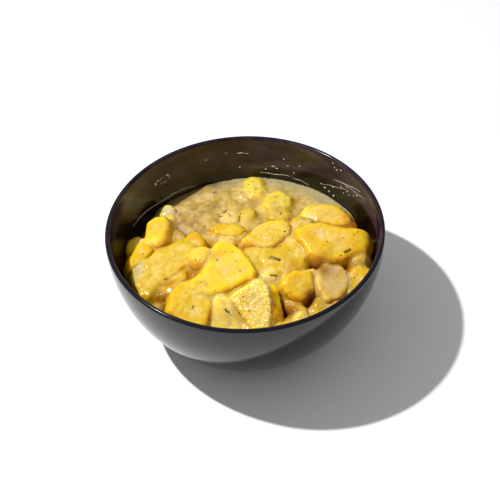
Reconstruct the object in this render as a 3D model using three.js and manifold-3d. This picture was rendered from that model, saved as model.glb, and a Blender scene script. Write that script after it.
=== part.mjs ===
// A bowl of warm potato salad: a plain black bowl, the creamy dressing that stands in it, and the
// heap of cut potatoes and onions that lies in the dressing.
// Millimetres, +Z up. The origin is the centre of the bowl's foot, where it stands on the table.
// -Y is the front, the side from which the bowl is looked at.
import * as THREE from 'three';
import { mergeVertices } from 'three/addons/utils/BufferGeometryUtils.js';
import Module from 'manifold-3d';

const wasm = await Module();
wasm.setup();

// Bowl
const RIM_RADIUS = 80;
const BOWL_HEIGHT = 72;
const WALL = 3;
const CURVE_DEPTH = 84.7; // vertical half-axis of the ellipse that the outer wall follows
const FLOOR = 4.5; // height of the inner floor
const FLOOR_BLEND = 5; // softness of the turn from inner wall to inner floor
const FOOT_RADIUS = 37;
const FOOT_WIDTH = 4;
const FOOT_HEIGHT = 2.2;
const FOOT_RECESS = 1.2; // how far the underside within the foot ring is off the table
const FOOT_BEVEL = 0.5;
const BOWL_SEGMENTS = 48;
const WALL_STEPS = 9;
const LIP_STEPS = 4;

// Contents
const GAP = 0.3; // clearance that touching solids keep
const LEVEL = 43.5; // the dressing's surface
const FILL_LIMIT = 66; // nothing in the bowl reaches higher
const BED_RINGS = [[61, 0], [66, 32], [64, 40]]; // the core's sunken bed, as [radius, height]
const MOUND_RINGS = [[55, 36], [50, 42], [37, 47.5], [0, 49]]; // the mound that stands on it
const MOUND_CENTRE = [2, -12]; // forward of the bowl's axis
const CORE_SEGMENTS = 32;

// Cut pieces
const EDGE_SCALE = 0.84; // how far the flat faces are drawn in from the piece's waist
const EDGE_DEPTH = 0.24; // share of the thickness that each rounded edge takes
const FACE_CROWN = 0.04; // how far the flat faces swell, as a share of the thickness
const UNEVEN = 0.04; // how far an outline strays from its plain form

// Every piece that shows: its centre, its [length, width, thickness], and how it lies as
// [turn, pitch, tip] in degrees: the heading of its length from +X, the lift of its far end, the
// lift of its left side. Then the form of its outline: boxiness, from 2, an oval, to 4, a rounded
// rectangle; taper, how much narrower its far end is; cut, the share sliced off its right side.
const PIECES = [
  ['left block', [-50, 20.5, 46.5], [25, 15, 13], [77, 7, -17], 3],
  ['left half moon', [-62.5, -0.8, 47.4], [24, 9, 10], [58, 6, 6], 2.2],
  ['far left', [-65.5, 13.5, 41.5], [18, 11, 10], [70, 4, -10], 2.4],
  ['long left slab', [-47, -9.5, 47.5], [47, 20, 11], [46, 9, 0], 3.2],
  ['left slab head', [-30, 6.5, 51], [16, 13, 10], [64, 5, 3], 2.4],
  ['under left slab', [-43, -21.5, 46.9], [28, 15, 11], [38, 11, -14], 2.6],
  ['knob', [-25.5, -8, 54.5], [15, 14, 14], [60, 4, 0], 2.2],
  ['front big slice', [-15, -20, 53.5], [41, 28, 11], [36, 3, 9], 3, -0.1, 0.1],
  ['front left slice', [-28.5, -38.5, 51], [31, 28, 11], [36, 3, 9], 2.6],
  ['front triangle', [-11, -45.5, 46], [27, 22, 10], [100, 30, 6], 2.6, 0.55],
  ['front block', [4.5, -42.5, 48.5], [29, 21, 14], [102, 27, -4], 3.2, -0.3],
  ['front block side', [13, -42, 48.3], [30, 6, 9], [94, 27, -34], 3],
  ['small grainy piece', [30.2, -50.5, 45.5], [9, 10, 9], [16, 8, 24], 2.6],
  ['sliver', [30.2, -39.7, 45.8], [17, 7, 7], [-38, -4, -6], 2],
  ['right chunk', [30, -27, 50], [20, 16, 12], [-23, -9, 15], 2.6],
  ['tall slice', [26, -5.5, 49.8], [26, 15, 11], [104, 6, 0], 2.8, 0.1],
  ['centre slice', [13, 9.5, 52.5], [31, 17, 11], [38, 9, 6], 2.6, 0, 0.1],
  ['flat oval', [-10, 22, 46], [22, 9, 8], [-24, -3, 4], 2.4],
  ['big right slice', [51, -0.5, 54.5], [44, 23, 11], [-8, -1, 9], 2.8],
  ['upper right slice', [51.5, 27.5, 49], [29, 13, 12], [-20, -1, 11], 2.6],
  ['upper right end', [61, 22.5, 46], [11, 12, 10], [-10, 0, 0], 2.2],
  ['onion disc', [49.5, -26.5, 49.5], [21, 22, 6], [120, 16, 12], 2.6],
  ['right edge strip', [63, -25, 45], [27, 12, 10], [56, 14, 4], 2.6],
  ['right pale piece', [65, -9.5, 51], [12, 11, 11], [60, 10, 0], 2.4],
  ['right low piece', [44.5, -40, 44.5], [17, 11, 8], [10, 0, 20], 2.6],
  ['back piece', [7.5, 62.5, 42.5], [16, 12, 10], [80, 0, 0], 2.6],
  ['back right piece', [20, 47.5, 44], [19, 15, 10], [30, 2, 4], 2.6],
  ['back pale piece', [20, 34, 45], [16, 12, 8], [8, 0, 5], 2.6],
  ['sunken piece', [1.5, 36, 43.5], [12, 12, 8], [30, 4, 0], 2.6],
  ['sunken back left', [-20, 55, 41], [16, 12, 8], [24, 0, 0], 2.2],
  ['upper right pale', [39, 29, 48.5], [15, 11, 10], [72, 5, 0], 2.4],
  ['onion left', [-36, 26.5, 43.6], [15, 9, 5], [-30, -3, 3], 2.2],
  ['onion upper left', [-45.5, 42.5, 44], [11, 10, 7], [62, 5, 0], 2.4],
  ['small upper left', [-44.5, 35, 44], [11, 8, 7], [100, 0, 0], 2.4],
  ['grain left', [-40.5, 18, 45.6], [9, 9, 6], [-20, 0, 5], 2.4],
  ['small pale piece', [-49, -31, 44], [9, 8, 7], [30, 0, 10], 2.4],
  ['onion centre', [-11, 7, 50.5], [12, 8, 7], [20, 4, 8], 2.4],
  ['centre low slice', [19.5, -12, 49.6], [23, 14, 10], [-16, -3, 8], 2.6],
  ['pale cube', [12.5, -21.5, 49], [11, 12, 10], [17, 0, 16], 3],
  ['valley piece', [7, -7, 50], [15, 17, 9], [45, 4, 4], 2.4],
  ['onion right', [36, -21, 51.5], [11, 7, 7], [55, 10, 10], 2.6],
  ['saddle piece', [33, 18, 50.5], [17, 14, 10], [10, 0, 4], 2.4],
  ['onion left front', [-61.5, -13, 48], [20, 8, 6], [76, 7, -10], 2.4],
];

// Close behind the front rim the heap goes on with more of the same pieces.
const FRONT_ROW = {
  count: 8, from: 218, to: 326, // their bearings, in degrees from +X
  radius: 60, z: 39, rise: 2, // distance from the axis, and the range of their heights
  size: [20, 15, 10], spread: 0.3, // mean size, and by what share it varies in all
  lean: 16, box: 2.8,
};

// Chive bits: the middle, the heading and the length of each.
const CHIVES = [
  { at: [-3.4, 32.6], turn: 75, length: 5 },
  { at: [16.8, -10.1], turn: -28, length: 6.5 },
  { at: [15.2, -21.6], turn: 5, length: 4 },
  { at: [58.1, -8.9], turn: 25, length: 4.5 },
  { at: [-11.5, -45.9], turn: -40, length: 3.5 },
  { at: [19.6, -36], turn: -40, length: 4.5 },
];
const CHIVE_RADIUS = 0.9;
const CHIVE_SIDES = 6;

// Seeds of the random draws
const PIECE_SEED = 100;
const FRONT_SEED = 41;

const radians = THREE.MathUtils.degToRad;

// A seeded source of numbers from 0 to 1, so that the shapes come out the same each time.
function randomSource(seed) {
  let state = seed;
  return () => {
    state = (state * 1664525 + 1013904223) % 4294967296;
    return state / 4294967296;
  };
}

// Height of the bowl's inside at the radius r: the wall's ellipse, run softly into a level floor.
function innerHeight(r, inset) {
  const across = Math.min(r / (RIM_RADIUS - WALL - inset), 1);
  const wall = BOWL_HEIGHT - (CURVE_DEPTH - WALL - inset) * Math.sqrt(1 - across * across);
  const floor = FLOOR + inset;
  return floor + FLOOR_BLEND * Math.log(1 + Math.exp((wall - floor) / FLOOR_BLEND));
}

// The inner wall as [radius, height] pairs from the rim down to the axis, drawn in by inset.
function innerProfile(inset) {
  const profile = [];
  for (let i = 0; i < WALL_STEPS; i++) {
    const r = (RIM_RADIUS - WALL - inset) * Math.cos((Math.PI / 2) * (i / WALL_STEPS));
    profile.push([r, innerHeight(r, inset)]);
  }
  profile.push([0, innerHeight(0, inset)]);
  return profile;
}

function outerRadius(z) {
  const down = (BOWL_HEIGHT - z) / CURVE_DEPTH;
  return RIM_RADIUS * Math.sqrt(1 - down * down);
}

// A closed profile of [radius, height] pairs, turned round the Z axis.
function turned(profile, segments) {
  const points = profile.map(([r, z]) => new THREE.Vector2(r, z));
  return new THREE.LatheGeometry(points, segments).rotateX(Math.PI / 2);
}

function bowlGeometry() {
  const lip = WALL / 2;
  const foot = FOOT_RADIUS - FOOT_WIDTH;
  const top = BOWL_HEIGHT - lip;
  const profile = [[0, FOOT_RECESS], [foot, FOOT_RECESS], [foot + FOOT_BEVEL, 0]];
  profile.push([FOOT_RADIUS - FOOT_BEVEL, 0], [FOOT_RADIUS, FOOT_BEVEL]);
  for (let i = 0; i <= WALL_STEPS; i++) {
    const z = FOOT_HEIGHT + ((top - FOOT_HEIGHT) * i) / WALL_STEPS;
    profile.push([outerRadius(z), z]);
  }
  for (let i = 1; i < LIP_STEPS; i++) {
    const a = (Math.PI * i) / LIP_STEPS;
    profile.push([RIM_RADIUS - lip + lip * Math.cos(a), top + lip * Math.sin(a)]);
  }
  for (const [r, z] of innerProfile(0)) profile.push([r, Math.min(z, top)]);
  return turned(profile, BOWL_SEGMENTS);
}

// A stack of [radius, height] rings closed by its two ends, larger by grow.
function ringStack(rings, grow) {
  const grown = rings.map(([r, z], i) => [r > 0 ? r + grow : 0, i > 0 ? z + grow : z - grow]);
  return turned([[0, grown[0][1]], ...grown, [0, grown[grown.length - 1][1]]], CORE_SEGMENTS);
}

// The core under the pieces: the sunken bed, and the mound on it.
function coreGeometries(grow) {
  return [ringStack(BED_RINGS, grow), ringStack(MOUND_RINGS, grow).translate(...MOUND_CENTRE, 0)];
}

// The outline of a piece as [x, y] pairs from -1 to 1, its length along x.
function pieceOutline(points, box, taper, cut, random) {
  const wave = 2 * Math.PI * random();
  const ripple = 2 * Math.PI * random();
  const outline = [];
  for (let i = 0; i < points; i++) {
    const a = (2 * Math.PI * i) / points;
    const reach = 1 + UNEVEN * (Math.sin(2 * a + wave) + Math.sin(3 * a + ripple));
    const x = reach * Math.sign(Math.cos(a)) * Math.abs(Math.cos(a)) ** (2 / box);
    const y = reach * Math.sign(Math.sin(a)) * Math.abs(Math.sin(a)) ** (2 / box) * (1 - taper * x);
    outline.push([x, Math.max(y, -1 + 2 * cut)]);
  }
  return outline;
}

// One cut piece: four rings of its outline between two slightly crowned faces.
function pieceGeometry([, at, size, [turn, pitch, tip], box, taper = 0, cut = 0], seed, grow) {
  const points = size[0] > 24 ? 14 : 10;
  const outline = pieceOutline(points, box, taper, cut, randomSource(seed));
  const [length, width, thickness] = size.map((s) => s + 2 * grow);
  const rings = [[-0.5, EDGE_SCALE], [EDGE_DEPTH - 0.5, 1], [0.5 - EDGE_DEPTH, 1], [0.5, EDGE_SCALE]];
  const crown = (0.5 + FACE_CROWN) * thickness;
  const positions = [0, 0, -crown];
  for (const [level, scale] of rings) {
    for (const [x, y] of outline) {
      positions.push((scale * x * length) / 2, (scale * y * width) / 2, level * thickness);
    }
  }
  positions.push(0, 0, crown);
  const index = [];
  const last = 1 + rings.length * points;
  for (let i = 0; i < points; i++) {
    const j = (i + 1) % points;
    index.push(0, 1 + j, 1 + i);
    for (let k = 1; k < last - points; k += points) {
      index.push(k + i, k + j, k + points + j, k + i, k + points + j, k + points + i);
    }
    index.push(last, last - points + i, last - points + j);
  }
  const geometry = new THREE.BufferGeometry();
  geometry.setAttribute('position', new THREE.Float32BufferAttribute(positions, 3));
  geometry.setIndex(index);
  geometry.rotateX(radians(tip)).rotateY(-radians(pitch)).rotateZ(radians(turn));
  return geometry.translate(...at);
}

// The rows of the pieces behind the front rim, in the form of the list above.
function frontRow() {
  const { count, from, to, radius, z, rise, spread, lean, box } = FRONT_ROW;
  const random = randomSource(FRONT_SEED);
  const rows = [];
  for (let i = 0; i < count; i++) {
    const a = radians(from + ((to - from) * i) / (count - 1));
    const at = [radius * Math.cos(a), radius * Math.sin(a), z + rise * random()];
    const size = FRONT_ROW.size.map((s) => s * (1 + spread * (random() - 0.5)));
    const lie = [180 * random(), lean * (random() - 0.5), lean * (random() - 0.5)];
    rows.push(['front row', at, size, lie, box]);
  }
  return rows;
}

function allPieces(grow) {
  return [...PIECES, ...frontRow()].map((row, i) => pieceGeometry(row, PIECE_SEED + i, grow));
}

// A three.js geometry as a solid that can be joined and cut.
function solidOf(geometry) {
  const bare = geometry.clone();
  bare.deleteAttribute('normal');
  bare.deleteAttribute('uv');
  const merged = mergeVertices(bare, 1e-4);
  return new wasm.Manifold(new wasm.Mesh({
    numProp: 3,
    vertProperties: merged.getAttribute('position').array,
    triVerts: new Uint32Array(merged.index.array),
  }));
}

function geometryOf(solid) {
  const mesh = solid.getMesh();
  const geometry = new THREE.BufferGeometry();
  geometry.setAttribute('position', new THREE.BufferAttribute(mesh.vertProperties, 3));
  geometry.setIndex(new THREE.BufferAttribute(mesh.triVerts, 1));
  geometry.computeVertexNormals();
  return geometry;
}

function joined(geometries) {
  return geometries.map(solidOf).reduce((all, one) => all.add(one));
}

// The largest body of a solid, without the loose scraps that cutting leaves.
function largest(solid) {
  return solid.decompose().reduce((best, one) => (one.volume() > best.volume() ? one : best));
}

// The room inside the bowl up to the height top, clear of its wall.
function roomBelow(top) {
  const room = [[0, BOWL_HEIGHT], ...innerProfile(GAP)].reverse();
  const slab = [[0, -1], [RIM_RADIUS, -1], [RIM_RADIUS, top], [0, top]];
  return solidOf(turned(room, BOWL_SEGMENTS)).intersect(solidOf(turned(slab, BOWL_SEGMENTS)));
}

// A chive bit that lies half sunk in the surface under it.
function chiveGeometry({ turn, length }, hit) {
  const lean = new THREE.Quaternion().setFromUnitVectors(new THREE.Vector3(0, 0, 1), hit.face.normal);
  const bit = new THREE.CylinderGeometry(CHIVE_RADIUS, CHIVE_RADIUS, length, CHIVE_SIDES);
  bit.rotateZ(Math.PI / 2).rotateZ(radians(turn)).applyQuaternion(lean);
  return bit.translate(...hit.point.toArray());
}

// Fuses each chive bit to the solid that it lies on.
function withChives(solids) {
  const meshes = solids.map((solid) => new THREE.Mesh(geometryOf(solid)));
  const down = new THREE.Vector3(0, 0, -1);
  for (const chive of CHIVES) {
    const ray = new THREE.Raycaster(new THREE.Vector3(...chive.at, BOWL_HEIGHT), down);
    const hit = ray.intersectObjects(meshes)[0];
    const i = meshes.indexOf(hit.object);
    solids[i] = solids[i].add(solidOf(chiveGeometry(chive, hit)));
  }
  return solids.map(geometryOf);
}

function contents() {
  const heap = largest(joined([...coreGeometries(0), ...allPieces(0)]).intersect(roomBelow(FILL_LIMIT)));
  const taken = joined([...coreGeometries(GAP), ...allPieces(GAP)]);
  const dressing = largest(roomBelow(LEVEL).subtract(taken));
  return withChives([dressing, heap]);
}

function node(name, geometry, colour, roughness) {
  const material = new THREE.MeshStandardMaterial({ color: colour, roughness, metalness: 0 });
  const mesh = new THREE.Mesh(geometry, material);
  mesh.name = name;
  return mesh;
}

const [dressingGeometry, heapGeometry] = contents();
const salad = new THREE.Group();
salad.add(node('bowl', bowlGeometry(), 0x1c1b1d, 0.2));
salad.add(node('dressing', dressingGeometry, 0xd0bb7c, 0.3));
salad.add(node('potato_heap', heapGeometry, 0xf0c848, 0.4));

export default salad;
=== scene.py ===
# A bowl of warm potato salad: glossy black bowl, creamy dressing, cut potatoes, onion, chives, pepper.
# Sizes are in millimetres and become metres where a mesh is made. +Z is up, -Y is the front.
import math

import bpy
import numpy as np
from mathutils import Matrix, Vector


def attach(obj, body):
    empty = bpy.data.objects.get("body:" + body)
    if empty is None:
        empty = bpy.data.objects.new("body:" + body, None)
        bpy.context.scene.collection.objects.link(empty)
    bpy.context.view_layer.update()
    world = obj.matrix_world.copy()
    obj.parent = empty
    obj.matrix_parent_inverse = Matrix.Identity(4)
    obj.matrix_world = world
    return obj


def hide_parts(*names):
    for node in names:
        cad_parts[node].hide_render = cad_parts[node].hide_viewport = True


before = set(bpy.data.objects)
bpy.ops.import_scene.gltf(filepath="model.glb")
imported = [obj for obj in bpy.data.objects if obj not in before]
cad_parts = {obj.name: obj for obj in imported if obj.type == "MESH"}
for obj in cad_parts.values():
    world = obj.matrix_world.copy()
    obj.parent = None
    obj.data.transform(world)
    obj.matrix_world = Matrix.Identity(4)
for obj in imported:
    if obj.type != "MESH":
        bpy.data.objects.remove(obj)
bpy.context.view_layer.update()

MM = 0.001

# Bowl, as in the solid model
RIM_RADIUS = 80
BOWL_HEIGHT = 72
WALL = 3
CURVE_DEPTH = 84.7
FLOOR = 4.5
FLOOR_BLEND = 5
FOOT_RADIUS = 37
FOOT_WIDTH = 4
FOOT_HEIGHT = 2.2
FOOT_RECESS = 1.2
FOOT_BEVEL = 0.5
BOWL_SEGMENTS = 256
WALL_STEPS = 60
LIP_STEPS = 12
TIP = 0.02  # radius at the ends of a turned form

# Contents
LEVEL = 43.5  # the dressing's surface
CORE_RADIUS = 61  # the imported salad's underside follows the bowl's floor this far out
CORE_CLEARANCE = 0.6
CORE_SHOULDER = 28  # height at which it turns up along the wall
CORE_SEGMENTS = 48
CORE_STEPS = 11
MOUND_RINGS = [(0, 49), (37, 47.5), (50, 42), (55, 36)]  # (radius, height), as in the solid model
MOUND_CENTRE = (2, -12)
MOUND_SUNK = 1.0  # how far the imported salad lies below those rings
GROUND_BLEND = 2.5
PIECE_CLEARANCE = 0.3  # from the bowl's wall
POOL_CLEARANCE = 0.05
WALL_LEAN = 0.93  # distance from the leaning wall, as a share of the level distance to it

# Grid on which the contents are worked out
CELL = 0.55
MESH_CELL = 0.75  # of the meshes that are made from it
GRID_REACH = 75.5
GRID_BOTTOM = 34.0
GRID_TOP = 65.0
FAR = 9.0  # what the fields hold where there is nothing

# Looks of the pieces: colour of the flesh (painted shade in "shaded", painted light in "lit through"), how
# far it stands out of the film of dressing (negative where the film covers it), and how much pale floury
# grain it has
LOOKS = {
    "pale bright": ((0.80, 0.58, 0.040), 0.60, 0.05),
    "bright": ((0.64, 0.42, 0.006), 0.55, 0.06),
    "yellow": ((0.62, 0.39, 0.006), 0.50, 0.05),
    "coated": ((0.58, 0.38, 0.020), -0.50, 0.04),
    "grainy": ((0.74, 0.55, 0.060), 0.60, 0.80),
    "pale": ((0.74, 0.56, 0.120), 0.50, 0.25),
    "mushy": ((0.54, 0.36, 0.045), -0.50, 0.06),
    # painted shade: a darker copy of the flesh, for a piece that lies in shade
    "shaded": ((0.45, 0.20, 0.006), 0.50, 0.02),
    "dull": ((0.60, 0.42, 0.130), 0.50, 0.35),
    "soft": ((0.70, 0.52, 0.080), 0.05, 0.25),
    "sunny": ((0.60, 0.40, 0.004), 0.80, 0.02),
    "golden": ((0.52, 0.31, 0.004), 0.50, 0.02),
    "mellow": ((0.66, 0.455, 0.030), 0.55, 0.10),
    "creamy": ((0.68, 0.46, 0.100), 0.50, 0.15),
    "floury": ((0.64, 0.43, 0.015), 0.55, 0.28),
    "pale front": ((0.86, 0.66, 0.140), 0.50, 0.30),
    # painted light: a bright copy of the flesh, for a side that faces away from the lamp and would lie in
    # shade
    "lit through": ((1.0, 0.70, 0.004), 0.80, 0.0),
    "onion": ((0.70, 0.48, 0.220), 0.80, 0.0),
    "clear onion": ((0.62, 0.52, 0.340), 0.80, 0.0),
    "wet onion": ((0.50, 0.39, 0.190), 0.60, 0.0),
}

# Every piece that shows: name, look, centre, [turn, pitch, tip] in degrees, thickness, and the
# outline of its upper face, along and across its length
PIECES = [
    ("left half moon", "sunny", (-62.3, -0.8, 47.4), (58, 6, 6), 10,
     [(-12, 0), (-8, 3), (0, 5), (8, 4), (12, 0), (10, -4), (0, -4), (-9, -3)]),
    ("left block", "mellow", (-50.5, 20.5, 46.5), (77, 7, -17), 13,
     [(-12, 6), (-12, -3), (-8, -6.5), (6, -5.5), (11, -2), (11, 4), (8, 7)]),
    ("far left", "yellow", (-65, 13.5, 41.5), (70, 4, -10), 10,
     [(-1, 5), (-8, 0), (-9, -3), (-1, -5), (7, -4), (9, 1), (5, 6)]),
    ("long left slab", "coated", (-47.5, -11, 47.5), (46, 9, 0), 11,
     [(-9, 10), (-20, 3), (-23, -4), (-21, -7), (-10, -7), (9, -9), (19, -7), (25, -3), (22, 5), (9, 11)]),
    ("left slab head", "yellow", (-29.5, 6.5, 51), (64, 5, 3), 10,
     [(-9, 1), (-6, -4), (1, -6), (5, -4), (7, 1), (4, 5), (-2, 8)]),
    ("under left slab", "golden", (-42.5, -22, 46.9), (38, 11, -14), 11,
     [(-14, 4), (-13, -3), (-6, -7), (0, -7), (8, -4), (14, 1), (13, 8), (-1, 9)]),
    ("knob", "creamy", (-25.5, -8, 54.5), (60, 4, 0), 14,
     [(-6, 4), (-7, -1), (-5, -6), (2, -7), (6, -4), (7, 2), (4, 6), (-1, 7)]),
    ("front big slice", "pale bright", (-13, -20, 53.5), (36, 3, 9), 11,
     [(-8, 6), (-19, 5), (-23, 2), (-18, -7), (-11, -11), (6, -12), (11, -14), (15, -11),
      (17, 6), (15, 15), (9, 18), (1, 12)]),
    ("front left slice", "bright", (-29, -37, 51), (36, 3, 9), 11,
     [(-19, 1), (-15, -12), (-9, -20), (5, -9), (16, 0), (12, 9), (0, 13), (-10, 10)]),
    ("front triangle", "pale front", (-11.5, -45, 46.5), (100, 30, 6), 10,
     [(-9, 15), (-13, -11), (-6, -10), (1, -7), (6, -4), (11, 1), (11, 5), (1, 11)]),
    ("front block", "grainy", (4.6, -42, 48.5), (102, 27, -4), 14,
     [(1, 9), (-7, 6), (-16, 3), (-17, -4), (2, -9), (10, -9), (15, -6), (11, 4), (8, 12)]),
    ("front block side", "lit through", (12.6, -40.5, 48.3), (94, 27, -34), 9,
     [(-17, 2.4), (-18, -2), (-4, -2.5), (9, -2), (12, 0), (8, 2.4)]),
    ("small grainy piece", "grainy", (30, -50.5, 45.5), (16, 8, 24), 9,
     [(-4, 1), (-4, -5), (2, -6), (5, -2), (2, 5), (-2, 4)]),
    ("sliver", "golden", (29, -43, 44.6), (-30, -4, -8), 7,
     [(-7, 1.5), (-5, -2.5), (3, -3), (6, -1.5), (5, 2), (0, 3)]),
    ("right chunk", "bright", (30, -27, 50), (-23, -9, 15), 12,
     [(-5, -8), (2, -9.5), (6, -9), (9.5, -1), (7, 6), (3.5, 9), (-6, 4.5), (-9.5, -1), (-9.5, -5)]),
    ("tall slice", "coated", (27.5, -5.5, 49.8), (104, 6, 0), 11,
     [(1, 9), (-7, 6), (-12, 2), (-12, -3), (-6, -5), (11, -6), (13, -1), (9, 3)]),
    ("centre slice", "floury", (14, 9.5, 52.5), (38, 9, 6), 11,
     [(-12, 1), (-9, -6), (-4, -8), (11, -7), (14, -3), (13, 1), (6, 7), (-1, 9), (-16, 7)]),
    ("flat oval", "yellow", (-10, 22, 46), (-24, -3, 4), 8,
     [(-8, -5), (5, -4), (10, -1), (10, 3), (6, 6), (0, 5), (-8, 1), (-11, -3)]),
    ("big right slice", "bright", (50, 0, 54.5), (-8, -1, 9), 11,
     [(-21, 2), (-16, -4), (-13, -9), (-8, -12), (-1, -13), (8, -11), (21, -4), (23, 2),
      (21, 8), (14, 10), (3, 10), (-8, 12), (-16, 11), (-22, 7)]),
    ("upper right slice", "creamy", (54, 27, 49), (-20, -1, 11), 12,
     [(-12, -6), (2, -7), (8, -5), (11, -2), (10, 2), (-3, 6), (-12, 4.5), (-18, 1)]),
    ("upper right end", "shaded", (61, 22.5, 46), (-10, 0, 0), 10,
     [(-5, 1), (-2, -6), (3, -6), (5, -2), (2, 5), (-3, 7)]),
    ("onion disc", "onion", (49.5, -26.5, 49.6), (120, 16, 12), 6,
     [(-3, 12), (-10, 12), (-11, 4), (-3, -9), (3, -12), (8, -11), (11, -4), (11, 4), (5, 9)]),
    ("right edge strip", "yellow", (64, -24.5, 45), (56, 14, 4), 10,
     [(-6, 4), (-16, 0), (-11, -4), (9, -8), (12, -2), (9, 4), (4, 8)]),
    ("right pale piece", "dull", (65, -9.5, 51), (60, 10, 0), 11,
     [(-5, 3), (-5, -2), (-2, -5), (3, -4), (6, 0), (4, 4), (0, 5.5)]),
    ("right low piece", "coated", (44, -40.5, 44.5), (10, 0, 20), 8,
     [(-8, 0), (-7, -6), (0, -6), (9, 2), (4, 6), (-4, 5)]),
    ("back piece", "soft", (7.5, 62, 42.5), (80, 0, 0), 10,
     [(-4, 5), (-9, 1), (-9, -4), (-3, -6), (7, -1), (8, 4), (5, 6)]),
    ("back right piece", "soft", (20.5, 47.5, 44), (30, 2, 4), 10,
     [(-11, 1), (-9, -3), (-3, -7), (4, -8), (8, -3), (6, 7), (1, 8), (-6, 4)]),
    ("back pale piece", "mushy", (20, 35, 45), (8, 0, 5), 8,
     [(-7, 0), (-4, -4), (4, -6), (7, -2), (6, 3), (0, 5), (-5, 4)]),
    ("sunken piece", "mushy", (1.5, 35.5, 43.5), (30, 4, 0), 8,
     [(-6, -1), (-4, -5), (1, -6), (5, -1), (6, 4), (2, 6), (-4, 4)]),
    ("sunken back left", "mushy", (-19.5, 56, 41), (24, 0, 0), 8,
     [(-7, -3), (-1, -6), (5, -3), (5, 3), (1, 5), (-5, 3)]),
    ("upper right pale", "pale", (40, 29.5, 48.5), (72, 5, 0), 10,
     [(-7, 3), (-9, -2), (-5, -6), (4, -4), (8, 0), (6, 4), (0, 5)]),
    ("onion left", "onion", (-36, 26.5, 43.6), (-30, -3, 3), 5,
     [(-3, -5), (4, -3), (8, 2), (4, 4), (-4, 4), (-8, -1)]),
    ("onion upper left", "clear onion", (-46, 42.5, 44), (62, 5, 0), 7,
     [(-5, 3), (-5, -1), (-1, -6), (3, -4), (5, 1), (4, 4), (-1, 4)]),
    ("small upper left", "pale", (-45, 35, 44), (100, 0, 0), 7,
     [(1, 3), (-4, 2), (-6, -1), (-1, -4), (5, -3), (5, 2)]),
    ("grain left", "mushy", (-40.5, 18, 45.6), (-20, 0, 5), 6,
     [(-3, -4), (1, -4), (5, -1), (4, 4), (-1, 5), (-4, 1)]),
    ("onion centre", "onion", (-10.5, 7, 50.5), (20, 4, 8), 7,
     [(-4, -2), (3, -4), (5, -2), (3, 2), (-2, 4), (-6, 3)]),
    ("centre low slice", "coated", (20, -12, 49.6), (-16, -3, 8), 10,
     [(-8, -3), (-2, -8), (7, -7), (12, -3), (1, 4), (-6, 8), (-13, 7)]),
    ("pale cube", "pale", (12.5, -21.5, 49), (17, 0, 16), 10,
     [(-5, -4), (0, -7), (4, -3), (4, 3), (1, 6), (-4, 4)]),
    ("valley piece", "coated", (7.5, -7.5, 50), (45, 4, 4), 9,
     [(-4, 3), (-7, -4), (-6, -9), (2, -7), (7, 0), (5, 6), (1, 11)]),
    ("onion right", "onion", (36, -21, 51.5), (55, 10, 10), 7,
     [(-6, 0), (-2, -3), (3, -3), (5, 0), (2, 2), (-2, 3)]),
    ("saddle piece", "coated", (33, 17.5, 50.5), (10, 0, 4), 10,
     [(-7, -2), (-4, -6), (2, -5), (7, -2), (6, 4), (1, 7), (-5, 4)]),
    ("small pale piece", "pale", (-49, -31, 44), (30, 0, 10), 7,
     [(-4, -2), (0, -4), (4, -1), (3, 3), (-2, 4)]),
    ("onion left front", "wet onion", (-61.5, -13, 48), (76, 7, -10), 6,
     [(-3, 4), (-10, 0), (-10, -4), (-2, -4), (7, -2), (11, 2), (7, 4)]),
]

# The pieces close behind the front rim
FRONT_COUNT = 8
FRONT_FROM = 218
FRONT_TO = 326
FRONT_RADIUS = 60
FRONT_Z = 38.5
FRONT_RISE = 2
FRONT_SIZE = (20, 15, 10)
FRONT_SPREAD = 0.3
FRONT_LEAN = 16
FRONT_CORNERS = 8
FRONT_SEED = 41

# Small broken bits in the dressing at the back, and between the pieces in front: how many, and the
# place that they are scattered over, from left to right and from front to back
BACK_BITS, BACK_X, BACK_Y = 74, (-50, 48), (8, 68)
FRONT_BITS, FRONT_X, FRONT_Y = 46, (-58, 62), (-62, 4)
BIT_REACH = 67  # from the bowl's axis
BIT_LENGTH = (4, 13)
BIT_SHORTNESS = 1.6  # above 1, short bits are more common
BIT_WIDTH = 0.7  # as a share of its length
BIT_THICKNESS = (3.5, 6)
BIT_RISE = (1.3, 0.7)  # how far it may stand out of the salad, in front and at the back
BIT_LEAN = 24
CORNER_TURN, CORNER_REACH = 0.6, (0.8, 1.2)
POTATO_SHARE = 0.86  # the other bits are onion
BIT_SEED = 12

# Form of a piece
CORNER, EDGE = 2.2, 3.0  # rounding of the outline's corners, and between its faces and sides
CORNER_LIMIT = 0.7  # of the corners' rounding, as a share of the piece's size
CORNER_OUT = 1.4  # how far a corner is from the middle, on the same scale
ROUNDING = {  # both, for pieces that are rounder or crisper than the rest
    "knob": (5, 6), "right pale piece": (4, 5), "small grainy piece": (2, 3), "pale cube": (2.5, 4),
    "front block": (1.6, 1.4), "front block side": (1.6, 1.6), "onion disc": (3, 1.6), "bit": (2, 2),
    "front big slice": (2.0, 2.0), "right chunk": (2.2, 3), "big right slice": (2.2, 3.6),
}
FLARE = 0.3  # how much its sides lean out downwards
JOIN = 1.5  # how softly two pieces that touch run together
DENT_SIZE, DENT_DEPTH = 15, 0.38
DENT_SEED = 101
ONION_DENT = 0.15
CHIP_SIZE, CHIP_DEPTH, CHIP_WAVES = 3.4, 0.11, 12
CHIP_SEED = 7  # added to the piece's own
# Room round a piece in the grid: for its sides, which lean out, and for what it runs into
FLARE_ROOM, EDGE_ROOM, PIECE_ROOM = 1.1, 1, 4

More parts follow.
